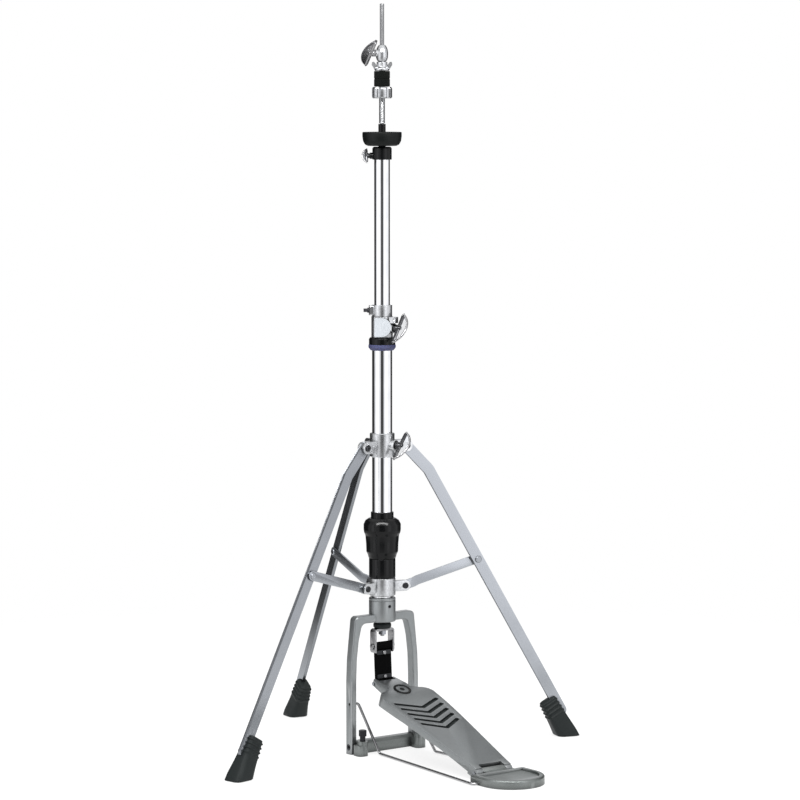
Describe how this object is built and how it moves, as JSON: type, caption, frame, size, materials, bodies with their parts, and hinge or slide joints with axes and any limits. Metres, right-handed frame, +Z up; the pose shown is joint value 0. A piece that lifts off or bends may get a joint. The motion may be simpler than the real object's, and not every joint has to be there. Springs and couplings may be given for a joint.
{
  "type": "hi-hat stand",
  "caption": "Pedal-operated cymbal stand: telescoping chrome mast on a folding tripod, cast foot pedal with pull rod, tilting seat and clutch.",
  "frame": {"origin": "on the mast's axis at floor level, in the crossbar's underside", "axes": "+Z up along the mast, -Y towards the heel of the pedal, +X across the base frame"},
  "size_m": [0.5979, 0.6381, 1.059],
  "materials": {
    "chrome": "polished chrome plate",
    "satin_steel": "satin plated flat steel",
    "cast_grey": "fine-textured grey casting",
    "black_plastic": "gloss black moulding",
    "blue_nylon": "satin blue-violet nylon",
    "black_steel": "black oxide",
    "rubber": "matt charcoal rubber",
    "felt": "pressed black felt"
  },
  "bodies": {
    "base": {"lower_tube": "chrome", "frame_yoke": "cast_grey", "base_crossbar": "cast_grey", "frame_screws": "black_steel", "heel_plate": "cast_grey", "hinge_pin": "chrome", "radius_rod_left": "satin_steel", "radius_rod_right": "satin_steel", "height_clamp": "chrome", "clamp_band": "black_plastic", "clamp_flange": "blue_nylon", "spring_housing": "black_plastic", "tension_spring": "satin_steel"},
    "adjuster": {"tension_knob": "black_plastic"},
    "tripod": {"brace_collar": "chrome", "brace_pivot_rivets": "chrome"},
    "leg_slider": {"leg_collar": "chrome", "leg_pivot_rivets": "chrome"},
    "leg_clamp_bolt": {"leg_wing_bolt": "chrome"},
    "right_leg": {"leg_right": "satin_steel", "foot_right": "rubber", "leg_rivet_right": "chrome"},
    "back_leg": {"leg_back": "satin_steel", "foot_back": "rubber", "leg_rivet_back": "chrome"},
    "left_leg": {"leg_left": "satin_steel", "foot_left": "rubber", "leg_rivet_left": "chrome"},
    "right_brace": {"brace_right": "satin_steel"},
    "back_brace": {"brace_back": "satin_steel"},
    "left_brace": {"brace_left": "satin_steel"},
    "upper_mast": {"upper_tube": "chrome", "top_cap": "black_plastic", "seat_sleeve": "black_plastic", "memory_lock": "chrome"},
    "memory_key": {"memory_bolt": "black_steel"},
    "seat": {"seat_cup": "black_plastic"},
    "tilter": {"tilter_screw": "chrome"},
    "height_clamp_bolt": {"height_wing_bolt": "chrome"},
    "rod": {"pull_rod_upper": "chrome", "pull_rod_lower": "chrome", "rod_nuts": "chrome", "rod_bumper": "rubber", "stirrup": "chrome", "stirrup_pin": "chrome"},
    "toe_strap": {"strap": "black_plastic", "strap_clamps": "black_plastic", "strap_screws": "chrome"},
    "pedal": {"footboard": "cast_grey", "board_emblem": "black_steel", "toe_pin": "chrome", "board_bumper": "rubber"},
    "clutch": {"clutch_body": "chrome", "clutch_tube": "chrome", "clutch_felts": "felt"},
    "clutch_lock_nut": {"lock_nut": "chrome"},
    "clutch_bottom_nut": {"bottom_nut": "chrome"},
    "clutch_bolt": {"clutch_wing_bolt": "chrome"},
    "left_spur": {"spur_left": "black_steel"},
    "right_spur": {"spur_right": "black_steel"}
  },
  "joints": [
    {"name": "footboard_hinge", "type": "hinge", "parent": "base", "child": "pedal", "pos_m": [0, -0.249, 0.009], "axis": [-1, 0, 0], "range_deg": [0, 7], "stiffness_Nm_per_rad": 30, "springref_deg": -11.46},
    {"name": "rod_pull", "type": "slide", "parent": "base", "child": "rod", "axis": [0, 0, -1], "range_m": [0, 0.031], "deforming": ["tension_spring"]},
    {"name": "strap_swing", "type": "hinge", "parent": "rod", "child": "toe_strap", "pos_m": [0, 0, 0.15], "axis": [1, 0, 0], "range_deg": [-1, 12]},
    {"name": "tube_height", "type": "slide", "parent": "base", "child": "upper_mast", "axis": [0, 0, 1], "range_m": [0, 0.055]},
    {"name": "clutch_height", "type": "slide", "parent": "rod", "child": "clutch", "axis": [0, 0, 1], "range_m": [0, 0.055]},
    {"name": "seat_tilt", "type": "hinge", "parent": "upper_mast", "child": "seat", "pos_m": [0, 0, 0.866], "axis": [-0.5, -0.866, 0], "range_deg": [-3, 3]},
    {"name": "tripod_swivel", "type": "hinge", "parent": "base", "child": "tripod", "pos_m": [0, 0, 0.235], "axis": [0, 0, 1], "range_deg": [-20, 20]},
    {"name": "leg_collar_slide", "type": "slide", "parent": "tripod", "child": "leg_slider", "axis": [0, 0, 1], "range_m": [0, 0.1]},
    {"name": "leg_right_hinge", "type": "hinge", "parent": "leg_slider", "child": "right_leg", "pos_m": [0.03441, -0.00987, 0.436], "axis": [0.2756, 0.9613, 0], "range_deg": [0, 16.5]},
    {"name": "brace_right_hinge", "type": "hinge", "parent": "tripod", "child": "right_brace", "pos_m": [0.03268, -0.00937, 0.235], "axis": [-0.2756, -0.9613, 0], "range_deg": [0, 45]},
    {"name": "leg_back_hinge", "type": "hinge", "parent": "leg_slider", "child": "back_leg", "pos_m": [0.00622, 0.03526, 0.436], "axis": [-0.9848, 0.1736, 0], "range_deg": [0, 16.5]},
    {"name": "brace_back_hinge", "type": "hinge", "parent": "tripod", "child": "back_brace", "pos_m": [0.0059, 0.03348, 0.235], "axis": [0.9848, -0.1736, 0], "range_deg": [0, 45]},
    {"name": "leg_left_hinge", "type": "hinge", "parent": "leg_slider", "child": "left_leg", "pos_m": [-0.03526, -0.00622, 0.436], "axis": [0.1736, -0.9848, 0], "range_deg": [0, 16.5]},
    {"name": "brace_left_hinge", "type": "hinge", "parent": "tripod", "child": "left_brace", "pos_m": [-0.03348, -0.0059, 0.235], "axis": [-0.1736, 0.9848, 0], "range_deg": [0, 45]},
    {"name": "height_bolt_turn", "type": "hinge", "parent": "base", "child": "height_clamp_bolt", "pos_m": [0, 0, 0.604], "axis": [0.309, -0.9511, 0], "continuous": true},
    {"name": "leg_bolt_turn", "type": "hinge", "parent": "leg_slider", "child": "leg_clamp_bolt", "pos_m": [0, 0, 0.438], "axis": [0.309, -0.9511, 0], "continuous": true},
    {"name": "clutch_bolt_turn", "type": "hinge", "parent": "clutch", "child": "clutch_bolt", "pos_m": [0, 0, 0.99], "axis": [-0.9903, 0.1392, 0], "continuous": true},
    {"name": "tilter_turn", "type": "hinge", "parent": "upper_mast", "child": "tilter", "pos_m": [0, 0, 0.8465], "axis": [-0.866, 0.5, 0], "continuous": true},
    {"name": "memory_key_turn", "type": "hinge", "parent": "upper_mast", "child": "memory_key", "pos_m": [0, 0, 0.629], "axis": [-0.866, 0.5, 0], "continuous": true},
    {"name": "tension_knob_turn", "type": "hinge", "parent": "base", "child": "adjuster", "pos_m": [0, 0, 0.305], "axis": [0, 0, 1], "continuous": true},
    {"name": "lock_nut_turn", "type": "hinge", "parent": "clutch", "child": "clutch_lock_nut", "pos_m": [0, 0, 0.971], "axis": [0, 0, 1], "continuous": true},
    {"name": "bottom_nut_turn", "type": "hinge", "parent": "clutch", "child": "clutch_bottom_nut", "pos_m": [0, 0, 0.935], "axis": [0, 0, 1], "continuous": true},
    {"name": "left_spur_turn", "type": "hinge", "parent": "base", "child": "left_spur", "pos_m": [-0.05, -0.02, 0.03], "axis": [0, 0, 1], "continuous": true},
    {"name": "right_spur_turn", "type": "hinge", "parent": "base", "child": "right_spur", "pos_m": [0.05, -0.02, 0.03], "axis": [0, 0, 1], "continuous": true}
  ],
  "couplings": [
    {"joint": "rod_pull", "follows": "footboard_hinge", "m_per_rad": 0.25108},
    {"joint": "strap_swing", "follows": "footboard_hinge", "ratio": 1.4214},
    {"joint": "clutch_height", "follows": "tube_height", "ratio": 1},
    {"joint": "leg_right_hinge", "follows": "leg_collar_slide", "rad_per_m": 2.8205},
    {"joint": "brace_right_hinge", "follows": "leg_collar_slide", "rad_per_m": 7.7267},
    {"joint": "leg_back_hinge", "follows": "leg_collar_slide", "rad_per_m": 2.8205},
    {"joint": "brace_back_hinge", "follows": "leg_collar_slide", "rad_per_m": 7.7267},
    {"joint": "leg_left_hinge", "follows": "leg_collar_slide", "rad_per_m": 2.8205},
    {"joint": "brace_left_hinge", "follows": "leg_collar_slide", "rad_per_m": 7.7267}
  ]
}
